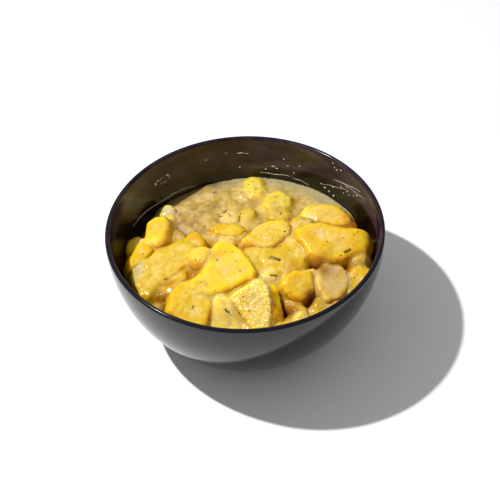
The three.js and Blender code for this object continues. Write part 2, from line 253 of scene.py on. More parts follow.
# Form of the dressing
CREVICE_FILLET = 3.2
SAUCE_SPREAD = 4.0  # it fills the gaps, following the heap smoothed over this much
SAUCE_BELOW = 2.6
SAUCE_BLEND = 3.0
POOL_FILLET = 3.5
MENISCUS, MENISCUS_REACH = 0.7, 1.2
FILM_DEPTH = 2.0  # the potato goes on this far under the dressing
PROUD_BLUR = 0.8
LUMPS = [(12, 0.9, 7), (5, 0.35, 8), (2.4, 0.12, 9)]  # size, height, seed
MASH = [(8, 0.15, 11), (3.4, 0.09, 12), (2, 0.06, 13)]
# Gaps that the dressing doesn't fill, and thick runs of it: place, radius and height
GAPS = [
    ((20, -43), 7, -14), ((37, -40), 6, -9), ((66, 22), 11, -6), ((72, 2), 8, -6), ((2, -33), 5, -2.5),
    ((44, -17), 5, 2.5), ((38, -15), 5, -5), ((-48, -23), 8, -10), ((-45, -41), 8, -8),
    ((55, -15), 5, -5), ((40, 13), 7, 3.5), ((52, 15), 6, 3), ((23, -12), 6, 1.5), ((3, 8), 5, 1.5),
    ((-22, 12), 5, 1.5), ((-6, -36), 4, 1),
]
LEVEL_SLOPE = 0.03  # thick as it is, it stands a little higher on the right
LEFT_DROP = 4.5  # how much lower it stands by the left wall

# Where one thing runs into the next: from where, and over what distance. It runs to the left or to the
# front where the distance is less than zero.
LEFT_SHORE = (-38, -16)  # along X, of the low dressing by the left wall
LEFT_SHORE_BACK = (48, -16)  # along Y
HEAP_BACK = (20, -20)  # along Y, of the dressing between the big pieces
FROTH_FRONT = (20, 15)  # along Y
FROTH_LEFT = (-24, 20)  # along X
SHALLOW_SHADE_BEARING = (92, 14)  # in degrees round the axis, of the pool's dark left edge
DEEP_FRONT = (30, -15)  # along Y, of the painted shade in creases and gaps
DEEP_BEHIND = 0.25  # how much of that painted shade is left at the back

# Tints of the food, linear. A tint multiplies the piece's own colour.
SIDE_SHADE_TINT = (0.98, 0.74, 0.06)  # painted shade: steep faces are tinted darker and more orange
SHADE_FACING = (0.6, -0.5)  # the painted shade is strongest on the sides that face this way, away from the lamp
RIDGE_TINT = (1.06, 1.04, 0.35)  # thin edges, where light comes through
EDGE_TINT = (1.03, 1.0, 0.22)  # a wider band along the edges, which the dressing has run off
CREAMS = [(0.42, 0.27, 0.060), (0.56, 0.41, 0.110)]
HEAP_CREAM = (0.60, 0.40, 0.020)  # between the big pieces
HEAP_MOTTLE = 0.15
FROTH = (0.34, 0.30, 0.16)  # the thin edge of the pool at the back
SHALLOW_SHADE = (0.050, 0.028, 0.010)  # its left edge, near black: a thin film over the black bowl, and painted shade where the left wall's shadow falls
CREAM_TOP = (0.72, 0.54, 0.190)  # patches of thin dressing on level faces
CREASE_SHADE = (0.60, 0.31, 0.004)  # painted shade where two pieces meet
SUNK_SHADE = (0.26, 0.075, 0.001)  # painted shade on the dressing deep between the pieces
SUNK_DEPTH = 4.2
# Places that are browner or paler than the rest, from stains and from painted light and shade: place, radius
# and tint
STAINS_AND_PAINTED_LIGHT = [
    # painted shade in the dark gaps at the front right: (22, -45), (36, -37) and (25, -43)
    ((22, -45), 5, (0.38, 0.20, 0.04)), ((36, -37), 5, (0.4, 0.25, 0.06)),
    ((25, -43), 4, (0.72, 0.52, 0.2)), ((42, -14), 5, (0.65, 0.55, 0.6)),
    # painted shade: (-51, -31) and (-44, -25) darken the gap under the left slab and its underside
    ((-51, -31), 4.5, (0.56, 0.50, 0.08)), ((-44, -25), 7, (0.80, 0.66, 0.16)),
    # painted light: (-67, 14) lightens the far left piece, which lies in the left wall's shadow
    ((-40, 24), 9, (0.75, 0.72, 0.95)), ((-67, 14), 7, (3.7, 1.7, 3)),
    ((43.8, -19), 5.5, (0.50, 0.39, 0.31)), ((59, -3), 7, (0.92, 0.82, 0.35)),
    ((47, 10), 10, (1.02, 1.04, 2.8)), ((62, 24), 5, (0.78, 0.58, 0.30)),
    ((-34, 36), 14, (0.78, 0.72, 0.90)), ((-22, 58), 10, (0.9, 0.92, 1.6)),
    ((27, -16), 5, (0.8, 0.68, 0.5)), ((-17, -10), 4, (0.85, 0.7, 0.3)), ((-32, -16), 5, (0.9, 0.8, 0.5)),
]
# A point's height is set against the surface round about it, smoothed over one of these
WIDE, MIDDLING, CLOSE = 4.5, 3.2, 1.6
RIDGE_HEIGHT, EDGE_HEIGHT, CREASE_DEPTH = 0.7, 1.6, 1.3
CREASE_SHARE = 0.8
SUNK_POWER = 1.4
COVER_DEPTH = 1.6  # of dressing that hides the colour of what is under it
STEEP_GAIN = 1.9
SHADE_FACING_LEAST = 0.25
PATCH_GAIN = 1.1
BLOTCHES = [(10, 0.6, 31), (4, 0.5, 32)]  # size, strength, seed
SHADES = (0.94, 1.05)  # no two pieces are quite alike
SHADE_SEED = 5
FROTH_WIDTH = 12
SHALLOW_SHADE_GAIN, SHALLOW_SHADE_FROM = 1.4, 0.45


# Random numbers and noise

WAVE_SPREAD = (0.7, 1.4)  # of the rates of the sines, as shares of the main one


def random_source(seed):
    """The same seeded draws as the solid model's."""
    state = seed
    while True:
        state = (state * 1664525 + 1013904223) % 4294967296
        yield state / 4294967296


def waves(points, wavelength, seed, count=9):
    """Smooth noise of about -1 to 1 at points [N, 3]: a sum of sines in random directions."""
    rng = np.random.default_rng(seed)
    directions = rng.normal(size=(count, 3))
    directions /= np.linalg.norm(directions, axis=1)[:, None]
    rate = 2 * math.pi / wavelength * rng.uniform(*WAVE_SPREAD, count)
    phase = rng.uniform(0, 2 * math.pi, count)
    total = np.zeros(len(points), np.float32)
    for direction, k, start in zip(directions, rate, phase):
        total += np.sin(points @ (direction * k).astype(np.float32) + np.float32(start))
    return total / math.sqrt(count)


def between(limits, share):
    return limits[0] + (limits[1] - limits[0]) * share


def rising(values, start, width):
    """0 as far as start and 1 from width beyond it, even between them."""
    return np.clip((values - start) / width, 0, 1)


def smooth_min(a, b, blend):
    near = np.maximum(blend - np.abs(a - b), 0) / blend
    return np.minimum(a, b) - near * near * blend / 4


def smooth_max(a, b, blend):
    return -smooth_min(-a, -b, blend)


# Meshes

def mesh_object(name, points, faces):
    """A smooth-shaded object from points in millimetres and faces of equal length."""
    faces = np.asarray(faces, np.int32)
    mesh = bpy.data.meshes.new(name)
    mesh.vertices.add(len(points))
    mesh.vertices.foreach_set("co", (np.asarray(points, np.float32) * MM).ravel())
    mesh.loops.add(faces.size)
    mesh.loops.foreach_set("vertex_index", faces.ravel())
    mesh.polygons.add(len(faces))
    mesh.polygons.foreach_set("loop_start", np.arange(0, faces.size, faces.shape[1], dtype=np.int32))
    mesh.update(calc_edges=True)
    mesh.validate()
    mesh.shade_smooth()
    piece = bpy.data.objects.new(name, mesh)
    bpy.context.scene.collection.objects.link(piece)
    return piece


def set_colours(piece, name, colours):
    layer = piece.data.attributes.new(name, "FLOAT_COLOR", "POINT")
    rgba = np.ones((len(colours), 4), np.float32)
    rgba[:, :3] = colours
    layer.data.foreach_set("color", rgba.ravel())


def set_values(piece, name, values):
    layer = piece.data.attributes.new(name, "FLOAT", "POINT")
    layer.data.foreach_set("value", np.asarray(values, np.float32))


def turned(profile, segments):
    """Points and quads of a profile of (radius, height), turned round the Z axis."""
    angles = np.arange(segments) * 2 * math.pi / segments
    radius, height = np.asarray(profile, float).T
    points = np.stack([
        np.outer(np.cos(angles), radius), np.outer(np.sin(angles), radius), np.tile(height, (segments, 1)),
    ], axis=-1).reshape(-1, 3)
    steps = len(profile)
    i = np.arange(segments)[:, None] * steps
    j = (np.arange(segments)[:, None] + 1) % segments * steps
    k = np.arange(steps - 1)[None, :]
    faces = np.stack([i + k, j + k, j + k + 1, i + k + 1], axis=-1).reshape(-1, 4)
    return points, faces


def surface_mesh(field, origin, step):
    """Points and quads of the surface where field crosses zero, by surface nets."""
    inside = field < 0
    shape = np.array(field.shape) - 1
    corners = np.zeros(shape, np.int8)
    for dx, dy, dz in np.ndindex(2, 2, 2):
        corners += inside[dx:shape[0] + dx, dy:shape[1] + dy, dz:shape[2] + dz]
    active = (corners > 0) & (corners < 8)
    cells = np.argwhere(active)
    index = np.full(active.shape, -1, np.int32)
    index[active] = np.arange(len(cells))
    total = np.zeros((len(cells), 3))
    hits = np.zeros(len(cells))
    for axis in range(3):
        unit = np.eye(3, dtype=int)[axis]
        for p, q in np.ndindex(2, 2):
            offset = np.roll([0, p, q], axis)
            start = cells + offset
            a = field[tuple(start.T)]
            b = field[tuple((start + unit).T)]
            cross = (a < 0) != (b < 0)
            share = np.where(cross, a / np.where(cross, a - b, 1), 0)
            total += np.where(cross[:, None], offset + share[:, None] * unit, 0)
            hits += cross
    points = origin + step * (cells + total / hits[:, None])
    quads = []
    for axis in range(3):
        low, high = [slice(1, -1)] * 3, [slice(1, -1)] * 3
        low[axis], high[axis] = slice(0, -1), slice(1, None)
        a, b = inside[tuple(low)], inside[tuple(high)]
        u, v = np.eye(3, dtype=int)[(axis + 1) % 3], np.eye(3, dtype=int)[(axis + 2) % 3]
        for sign in (True, False):
            nodes = np.argwhere((a == sign) & (b != sign)) + u + v
            ring = [index[tuple((nodes - s).T)] for s in (u + v, v, 0 * u, u)]
            quads.append(np.stack(ring if sign else ring[::-1], axis=1))
    return points, np.concatenate(quads)


# The bowl

def inner_height(r):
    across = np.minimum(r / (RIM_RADIUS - WALL), 1)
    wall = BOWL_HEIGHT - (CURVE_DEPTH - WALL) * np.sqrt(1 - across * across)
    return FLOOR + FLOOR_BLEND * np.log1p(np.exp((wall - FLOOR) / FLOOR_BLEND))


def outer_radius(z):
    return RIM_RADIUS * math.sqrt(1 - ((BOWL_HEIGHT - z) / CURVE_DEPTH) ** 2)


def inner_radius(z):
    return (RIM_RADIUS - WALL) * np.sqrt(np.maximum(1 - ((BOWL_HEIGHT - z) / (CURVE_DEPTH - WALL)) ** 2, 0))


def bowl_profile():
    lip = WALL / 2
    top = BOWL_HEIGHT - lip
    foot = FOOT_RADIUS - FOOT_WIDTH
    # The recess in the foot, the ring that it stands on, the outer wall, the lip and the inner wall
    profile = [(0.01, FOOT_RECESS), (foot - 1, FOOT_RECESS), (foot, FOOT_RECESS - 0.2)]
    profile += [(foot + FOOT_BEVEL, 0.1), (foot + 2 * FOOT_BEVEL, 0), (FOOT_RADIUS - FOOT_BEVEL, 0)]
    profile += [(FOOT_RADIUS - 0.15, 0.12), (FOOT_RADIUS, FOOT_BEVEL)]
    for i in range(WALL_STEPS + 1):
        z = FOOT_HEIGHT + (top - FOOT_HEIGHT) * i / WALL_STEPS
        profile.append((outer_radius(z), z))
    for i in range(1, LIP_STEPS):
        a = math.pi * i / LIP_STEPS
        profile.append((RIM_RADIUS - lip + lip * math.cos(a), top + lip * math.sin(a)))
    for i in range(WALL_STEPS):
        r = (RIM_RADIUS - WALL) * math.cos(math.pi / 2 * i / WALL_STEPS)
        profile.append((r, min(float(inner_height(r)), top)))
    profile.append((0.01, float(inner_height(0))))
    return profile


def make_bowl():
    points, faces = turned(bowl_profile(), BOWL_SEGMENTS)
    bowl = mesh_object("bowl_fine", points, faces)
    radius = np.hypot(points[:, 0], points[:, 1])
    set_values(bowl, "inside", radius < inner_radius(points[:, 2]) + WALL / 2)
    set_values(bowl, "lip", np.clip((points[:, 2] - BOWL_HEIGHT + WALL / 2) / LIP_BLEND, 0, 1))
    return bowl


def wall_place(bearing, height, off=0.0):
    """A point on the inner wall, off by that much into the bowl."""
    r = inner_radius(height) - off
    return Vector((r * math.cos(bearing), r * math.sin(bearing), height))


# The contents

def random_outline(length, width, draw, corners=6):
    """The outline of a broken bit, with its corners at uneven bearings and distances."""
    outline = []
    for i in range(corners):
        a = 2 * math.pi * (i + CORNER_TURN * (next(draw) - 0.5)) / corners
        reach = between(CORNER_REACH, next(draw))
        outline.append((reach * length / 2 * math.cos(a), reach * width / 2 * math.sin(a)))
    return outline


def front_row():
    draw = random_source(FRONT_SEED)
    rows = []
    for i in range(FRONT_COUNT):
        a = math.radians(FRONT_FROM + (FRONT_TO - FRONT_FROM) * i / (FRONT_COUNT - 1))
        at = (FRONT_RADIUS * math.cos(a), FRONT_RADIUS * math.sin(a), FRONT_Z + FRONT_RISE * next(draw))
        length, width, thickness = (s * (1 + FRONT_SPREAD * (next(draw) - 0.5)) for s in FRONT_SIZE)
        lie = (180 * next(draw), FRONT_LEAN * (next(draw) - 0.5), FRONT_LEAN * (next(draw) - 0.5))
        outline = random_outline(length, width, draw, FRONT_CORNERS)
        rows.append(("front row", "yellow", at, lie, thickness, outline))
    return rows


def small_bits():
    """Broken bits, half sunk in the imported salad: many at the back, some between the pieces in front."""
    draw = random_source(BIT_SEED)
    rows = []
    for i in range(BACK_BITS + FRONT_BITS):
        at_back = i < BACK_BITS
        x = between(BACK_X if at_back else FRONT_X, next(draw))
        y = between(BACK_Y if at_back else FRONT_Y, next(draw))
        if math.hypot(x, y) > BIT_REACH:
            continue
        length = between(BIT_LENGTH, next(draw) ** BIT_SHORTNESS)
        thickness = between(BIT_THICKNESS, next(draw))
        ground = max(LEVEL, float(filler_height(np.array([[x]]), np.array([[y]]))[0, 0]))
        z = ground - thickness / 2 + BIT_RISE[at_back] * next(draw)
        lie = (360 * next(draw), BIT_LEAN * (next(draw) - 0.5), BIT_LEAN * (next(draw) - 0.5))
        look = "onion" if next(draw) > POTATO_SHARE else "mushy"
        outline = random_outline(length, length * BIT_WIDTH, draw)
        rows.append(("bit", look, (x, y, z), lie, thickness, outline))
    return rows


def lie_matrix(lie):
    """Columns: the piece's length, width and thickness directions."""
    turn, pitch, tip = (math.radians(a) for a in lie)
    level = Matrix.Rotation(turn, 3, "Z") @ Matrix.Rotation(-pitch, 3, "Y")
    return np.array(level @ Matrix.Rotation(tip, 3, "X"))


def outline_distance(x, y, outline):
    """Distance from an outline in its plane, less than zero inside."""
    nearest = np.full(x.shape, np.inf, np.float32)
    inside = np.zeros(x.shape, bool)
    for (ax, ay), (bx, by) in zip(outline, outline[1:] + outline[:1]):
        ex, ey = bx - ax, by - ay
        px, py = x - ax, y - ay
        along = np.clip((px * ex + py * ey) / (ex * ex + ey * ey), 0, 1)
        nearest = np.minimum(nearest, (px - along * ex) ** 2 + (py - along * ey) ** 2)
        if ey:
            inside ^= ((ay <= y) != (by <= y)) & (x < ax + py / ey * ex)
    return np.where(inside, -1, 1) * np.sqrt(nearest)


def piece_field(row, seed, points):
    """Distance from the surface of one cut piece, less than zero inside it."""
    name, look, at, lie, thickness, outline = row
    local = ((points - np.array(at, np.float32)) @ lie_matrix(lie).astype(np.float32)).astype(np.float32)
    local += (ONION_DENT if "onion" in look else DENT_DEPTH) * waves(local, DENT_SIZE, seed)[:, None]
    x, y, z = local.T
    middle = np.mean(outline, axis=0)
    size = np.abs(np.array(outline) - middle).mean()
    rounding = ROUNDING.get(name, (CORNER, EDGE))
    corner = min(rounding[0], CORNER_LIMIT * size)
    drawn_in = 1 - corner / (CORNER_OUT * size)
    shrunk = [tuple(middle + (np.array(p) - middle) * drawn_in) for p in outline]
    side = outline_distance(x, y, shrunk) - corner - FLARE * (thickness / 2 - z)
    face = np.abs(z) - thickness / 2
    chips = CHIP_DEPTH * waves(local, CHIP_SIZE, seed + CHIP_SEED, CHIP_WAVES)
    return smooth_max(side, face, rounding[1]) + chips


def spread(field, damping):
    """A block's field with its waves damped by a function of their rate, in waves per millimetre."""
    rates = [np.fft.fftfreq(n, CELL) for n in field.shape[:2]] + [np.fft.rfftfreq(field.shape[2], CELL)]
    rate = np.sqrt(sum(r.reshape(np.roll([-1, 1, 1], axis)) ** 2 for axis, r in enumerate(rates)))
    return np.fft.irfftn(np.fft.rfftn(field) * damping(rate), field.shape).astype(np.float32)


BAND_WIDTH = 0.5  # of the noise, as a share of its main rate
PEAK = 1.6  # standard deviations that count as its full height


def rough(shape, size, seed):
    """Uneven noise in a block, mostly from -1 to 1, with lumps of about that size."""
    white = np.random.default_rng(seed).standard_normal(shape, np.float32)
    noise = spread(white, lambda rate: np.exp(-((rate * size - 1) / BAND_WIDTH) ** 2))
    return noise / (PEAK * noise.std())


def softened(field, radius):
    return spread(field, lambda rate: np.exp(-2 * (math.pi * radius * rate) ** 2))


class Grid:
    """A block of cells over the upper part of the bowl."""

    def __init__(self):
        self.origin = np.array([-GRID_REACH, -GRID_REACH, GRID_BOTTOM])
        top = np.array([GRID_REACH, GRID_REACH, GRID_TOP])
        self.shape = tuple(np.ceil((top - self.origin) / CELL).astype(int) + 1)
        self.axes = [self.origin[i] + CELL * np.arange(self.shape[i]) for i in range(3)]

    def block(self, low, high):
        """Slices that cover the box from low to high, and the points in them."""
        first = np.clip(np.floor((low - self.origin) / CELL).astype(int), 0, self.shape)
        last = np.clip(np.ceil((high - self.origin) / CELL).astype(int) + 1, 0, self.shape)
        slices = tuple(slice(a, b) for a, b in zip(first, last))
        axes = [axis[s] for axis, s in zip(self.axes, slices)]
        points = np.stack(np.meshgrid(*axes, indexing="ij"), axis=-1).astype(np.float32)
        return slices, points

    def nearest(self, field, points):
        """A field's values in the cells nearest to points."""
        i = np.rint((points - self.origin) / CELL).astype(int)
        return field[tuple(np.clip(i, 0, np.array(self.shape) - 1).T)]

    def blended(self, field, points):
        """Values of a field of the grid's depth, or of a map of its plan, blended between cells."""
        place = ((points - self.origin) / CELL)[:, :field.ndim]
        i = np.clip(np.floor(place).astype(int), 0, np.array(field.shape) - 2)
        t = np.clip(place - i, 0, 1)
        total = 0
        for corner in np.ndindex(*(2,) * field.ndim):
            weight = np.prod(np.where(corner, t, 1 - t), axis=1)
            total = total + weight * field[tuple((i + corner).T)]
        return total


def add_pieces(grid, rows):
    """Fields of the potatoes, of the onions, and of both run softly together, and each cell's piece."""
    potato, onion, together, closest = (np.full(grid.shape, FAR, np.float32) for _ in range(4))
    owner = np.zeros(grid.shape, np.int16)
    for number, row in enumerate(rows):
        name, look, at, lie, thickness, outline = row
        half = np.append(np.abs(np.array(outline)).max(axis=0) * FLARE_ROOM + EDGE_ROOM, thickness / 2)
        reach = np.abs(lie_matrix(lie)) @ half + PIECE_ROOM
        slices, points = grid.block(np.array(at) - reach, np.array(at) + reach)
        if 0 in points.shape:
            continue
        values = piece_field(row, DENT_SEED + number, points.reshape(-1, 3)).reshape(points.shape[:3])
        target = onion if "onion" in look else potato
        target[slices] = smooth_min(target[slices], values, JOIN)
        together[slices] = smooth_min(together[slices], values, CREVICE_FILLET)
        owner[slices] = np.where(values < closest[slices], number, owner[slices])
        closest[slices] = np.minimum(closest[slices], values)
    return potato, onion, together, owner


def filler_height(x, y):
    """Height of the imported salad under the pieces, lumpy where pieces lie just under the dressing."""
    radius = np.hypot(x - MOUND_CENTRE[0], y - MOUND_CENTRE[1])
    rings = np.array(MOUND_RINGS, float)
    mound = np.interp(radius, rings[:, 0], rings[:, 1] - MOUND_SUNK)
    flat = np.stack([x, y, np.zeros_like(x)], axis=-1).reshape(-1, 3).astype(np.float32)
    lumps = sum(waves(flat, size, seed).reshape(x.shape) * height for size, height, seed in LUMPS)
    return mound + lumps


def pool_level(x, y):
    """Height of the dressing, which doesn't quite reach the left wall."""
    to_left = rising(x, *LEFT_SHORE) * rising(y, *LEFT_SHORE_BACK)
    return LEVEL + LEVEL_SLOPE * x - LEFT_DROP * to_left


def blurred(plan, radius):
    """A map of the grid's plan, smoothed over about that many millimetres."""
    freq = [np.fft.fftfreq(n, CELL) for n in plan.shape]
    damp = np.exp(-2 * (math.pi * radius) ** 2 * (freq[0][:, None] ** 2 + freq[1][None, :] ** 2))
    return np.fft.ifft2(np.fft.fft2(plan) * damp).real


def resampled(field, ratio):
    """A field at points that are ratio cells apart, blended between the cells."""
    for axis in range(3):
        places = np.arange(0, field.shape[axis] - 1, ratio)
        low = places.astype(int)
        share = (places - low).astype(np.float32).reshape(np.roll([-1, 1, 1], axis))
        field = np.take(field, low, axis) * (1 - share) + np.take(field, low + 1, axis) * share
    return field


def closed_mesh(name, field, grid):
    """The mesh of a field and its points. It is closed where the field meets the grid's sides."""
    closed = resampled(field, MESH_CELL / CELL)
    for edge in (0, -1):
        closed[edge], closed[:, edge], closed[:, :, edge] = FAR, FAR, FAR
    points, quads = surface_mesh(closed, grid.origin, MESH_CELL)
    return mesh_object(name, points, quads), points


def normals_of(piece):
    normals = np.empty((len(piece.data.vertices), 3), np.float32)
    piece.data.vertex_normals.foreach_get("vector", normals.ravel())
    return normals


def mixed(first, second, share):
    """Colours between first and second, by a share at each point."""
    return first + (second - first) * share[:, None]


def cream_colours(points, mottle):
    """The dressing's colour at points: mottled, and pale at the back edge of the pool."""
    x, y = points[:, :2].T
    colours = mixed(np.array(CREAMS[0]), CREAMS[1], mottle)
    colours = mixed(colours, HEAP_CREAM, rising(y, *HEAP_BACK) * (1 - HEAP_MOTTLE * mottle))
    to_wall = np.clip(1 - (inner_radius(LEVEL) - np.hypot(x, y)) / FROTH_WIDTH, 0, 1)
    colours = mixed(colours, FROTH, to_wall * rising(y, *FROTH_FRONT) * rising(x, *FROTH_LEFT))
    bearing = np.degrees(np.arctan2(y, x))
    # The left edge by the wall: thin film over the black bowl, and painted shade of the wall's shadow
    shallow_shade = rising(bearing, *SHALLOW_SHADE_BEARING) * np.clip(SHALLOW_SHADE_GAIN * to_wall - SHALLOW_SHADE_FROM, 0, 1)
    return mixed(colours, SHALLOW_SHADE, shallow_shade)


def dressing_level(grid, heap):
    """Map of the height up to which dressing fills the gaps, from the map of the pieces' height."""
    x, y = np.meshgrid(grid.axes[0], grid.axes[1], indexing="ij")
    ground = smooth_max(pool_level(x, y), filler_height(x, y), GROUND_BLEND)
    sauce = blurred(np.maximum(heap, ground), SAUCE_SPREAD) - SAUCE_BELOW
    level = smooth_max(ground, sauce, SAUCE_BLEND)
    for (gap_x, gap_y), radius, rise in GAPS:
        level += rise * np.exp(-((x - gap_x) ** 2 + (y - gap_y) ** 2) / (0.5 * radius * radius))
    wall_gap = np.maximum((inner_radius(LEVEL) - np.hypot(x, y)) * WALL_LEAN, 0)
    return level + MENISCUS * np.exp(-wall_gap / MENISCUS_REACH)


def contents_fields(grid, rows):
    """The field of each mesh, the field of all the pieces, each cell's piece, and the map of the height."""
    potato, onion, together, owner = add_pieces(grid, rows)
    x, y, z = np.meshgrid(*grid.axes, indexing="ij", sparse=True)
    outside = ((np.hypot(x, y) - inner_radius(z)) * WALL_LEAN).astype(np.float32)
    # The film of dressing: thin over the pieces that stand proud, thick over the coated ones
    proud = softened(np.array([LOOKS[row[1]][1] for row in rows], np.float32)[owner], PROUD_BLUR)
    film = together + proud + sum(rough(grid.shape, size, seed) * height for size, height, seed in MASH)
    flesh = np.minimum(potato, onion)
    level = dressing_level(grid, np.where(flesh < 0, z, GRID_BOTTOM).max(axis=2))
    dressing = smooth_min(film, (z - level[:, :, None]).astype(np.float32), POOL_FILLET)
    fields = {
        "potato_pieces": np.maximum(np.minimum(potato, dressing + FILM_DEPTH), outside + PIECE_CLEARANCE),
        "onion_pieces": np.maximum(onion, outside + PIECE_CLEARANCE),
        "dressing_fine": np.maximum(dressing, outside + POOL_CLEARANCE),
    }
    solid = np.minimum.reduce(list(fields.values())) < 0
    return fields, flesh, owner, np.where(solid, z, GRID_BOTTOM).max(axis=2)


class Palette:
    """The colours of the contents, and the fields and maps that they follow."""

    def __init__(self, grid, rows, flesh, owner, top):
        self.grid, self.flesh, self.owner = grid, flesh, owner
        self.round_about = {reach: blurred(top, reach) for reach in (WIDE, MIDDLING, CLOSE)}
        self.blotches = sum(strength * rough(grid.shape, size, seed) for size, strength, seed in BLOTCHES)
        shade = np.random.default_rng(SHADE_SEED).uniform(*SHADES, len(rows))
        self.tones = np.array([LOOKS[row[1]][0] for row in rows]) * shade[:, None]
        self.grains = np.array([LOOKS[row[1]][2] for row in rows])

    def above(self, points, reach):
        """How far points stand above the surface round about them, smoothed over reach."""
        return points[:, 2] - self.grid.blended(self.round_about[reach], points)

    def bare_colours(self, points, normals, cover, is_potato):
        """Colours of flesh and dressing, before the painted shade of creases and gaps, and the stains and
        painted spots of light and shade, change them.
        """
        own = self.grid.nearest(self.owner, points)
        edge = rising(self.above(points, MIDDLING), 0, EDGE_HEIGHT)
        ridge = rising(self.above(points, CLOSE), 0, RIDGE_HEIGHT)
        steep = np.clip(STEEP_GAIN * (1 - normals[:, 2]), 0, 1)
        # Painted shade: steep faces, most of all those that face away from the lamp
        side_shade = steep * np.clip(0.5 + normals[:, :2] @ np.array(SHADE_FACING), SHADE_FACING_LEAST, 1)
        blotch = self.grid.blended(self.blotches, points)
        patch = np.clip(0.5 + PATCH_GAIN * blotch, 0, 1)
        # Potato or onion, with patches of thin dressing on the level faces
        colours = mixed(self.tones[own], CREAM_TOP, patch * (1 - steep) * (1 - edge))
        # The dressing where it is thick, then painted shade on the steep sides, strongest on those facing
        # away from the lamp, then the edges, with painted light where it comes through the thin ones
        colours = mixed(colours, cream_colours(points, np.clip(0.5 + blotch, 0, 1)), cover)
        colours = mixed(colours, colours * SIDE_SHADE_TINT, side_shade)
        if is_potato:
            colours = mixed(colours, colours * EDGE_TINT, edge * (1 - 0.5 * cover))
        return mixed(colours, colours * RIDGE_TINT, ridge * (1 - cover))

    def paint(self, piece, points):
        cover = rising(self.grid.blended(self.flesh, points), 0, COVER_DEPTH)
        is_potato = piece.name == "potato_pieces"
        colours = self.bare_colours(points, normals_of(piece), cover, is_potato)
        # Painted shade: darker in creases and where the surface lies deep between the pieces, full in front
        # and weaker at the back
        deep = np.maximum(rising(points[:, 1], *DEEP_FRONT), DEEP_BEHIND)
        crease = rising(self.above(points, CLOSE), 0, -CREASE_DEPTH)
        sunk = rising(self.above(points, WIDE), 0, -SUNK_DEPTH) ** SUNK_POWER
        colours = mixed(colours, CREASE_SHADE, CREASE_SHARE * crease * deep)
        colours = mixed(colours, SUNK_SHADE, sunk * deep)
        # Stains, and painted light and shade at some of the spots
        for (spot_x, spot_y), radius, tint in STAINS_AND_PAINTED_LIGHT:
            apart = (points[:, 0] - spot_x) ** 2 + (points[:, 1] - spot_y) ** 2
            colours = mixed(colours, colours * tint, np.exp(-apart / (radius * radius)))
        set_colours(piece, "tone", np.clip(colours, 0, 1))
        set_values(piece, "grain", self.grains[self.grid.nearest(self.owner, points)])


def make_contents():
    """The potato, onion and dressing meshes, and the surface that the small things lie on."""
    grid = Grid()
    rows = PIECES + front_row() + small_bits()
    fields, flesh, owner, top = contents_fields(grid, rows)
    palette = Palette(grid, rows, flesh, owner, top)
    made = {}
    for name, field in fields.items():
        made[name], points = closed_mesh(name, field, grid)
        palette.paint(made[name], points)
    return made, Surface(grid, top)


def make_core():
    """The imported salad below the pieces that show, down to the bowl's floor."""
    rings = []
    for i in range(CORE_STEPS + 1):
        r = max(CORE_RADIUS * i / CORE_STEPS, TIP)
        rings.append((r, float(inner_height(r)) + CORE_CLEARANCE))
    top = GRID_BOTTOM + 1
    rings += [(inner_radius(CORE_SHOULDER) - 1, CORE_SHOULDER), (inner_radius(top) - 0.5, top), (TIP, top)]
    points, faces = turned(rings, CORE_SEGMENTS)
    return mesh_object("heap_core", points, faces)


# Small things on the surface

HEIGHT_BLUR, SLOPE_BLUR = 0.5, 1.0
LUMP_UNEVEN, LUMP_WAVE = 0.18, 1.7
TUBE_END, TUBE_ROUNDING = 0.8, 0.25


class Surface:
    """The contents' upper surface, for laying things on it."""

    def __init__(self, grid, top):
        self.grid = grid
        self.height = blurred(top, HEIGHT_BLUR)
        self.slopes = np.gradient(blurred(top, SLOPE_BLUR), CELL)

    def lying(self, x, y, rise):
        """Places a thing flat on the surface, its middle that far above it."""
        place = np.array([[x, y, 0.0]])
        plans = (self.height, *self.slopes)
        z, slope_x, slope_y = (float(self.grid.blended(plan, place)[0]) for plan in plans)
        up = Vector((-slope_x, -slope_y, 1)).normalized()
        lean = Vector((0, 0, 1)).rotation_difference(up).to_matrix().to_4x4()
        return Matrix.Translation((x, y, z + rise)) @ lean


def joined_mesh(name, parts):
    """One object from several pairs of points and faces."""
    starts = np.cumsum([0] + [len(part[0]) for part in parts[:-1]])
    points = np.concatenate([part[0] for part in parts])
    return mesh_object(name, points, np.concatenate([part[1] + start for part, start in zip(parts, starts)]))


def placed(form, placing):
    """A form's points and faces, moved by a matrix."""
    points, faces = form
    return points @ np.array(placing.to_3x3()).T + np.array(placing.translation), faces


def lump_form(steps, segments, seed):
    """A small uneven ball of radius 1."""
    angles = [math.pi * i / steps for i in range(steps + 1)]
    points, faces = turned([(max(math.sin(a), TIP), -math.cos(a)) for a in angles], segments)
    return points * (1 + LUMP_UNEVEN * waves(points.astype(np.float32), LUMP_WAVE, seed))[:, None], faces


def tube_form(length, radius, bend, steps=6, segments=8):
    """A rod along X with rounded ends, bent sideways."""
    profile = [(TIP, -length / 2), (radius * TUBE_END, -length / 2 + 0.05)]
    straight = length - 2 * TUBE_ROUNDING
    profile += [(radius, -length / 2 + TUBE_ROUNDING + straight * i / steps) for i in range(steps + 1)]
    profile += [(radius * TUBE_END, length / 2 - 0.05), (TIP, length / 2)]
    points, faces = turned(profile, segments)
    points = points[:, [2, 1, 0]] * np.array([1, 1, -1])
    points[:, 1] += bend * ((2 * points[:, 0] / length) ** 2 - 0.5)
    return points, faces


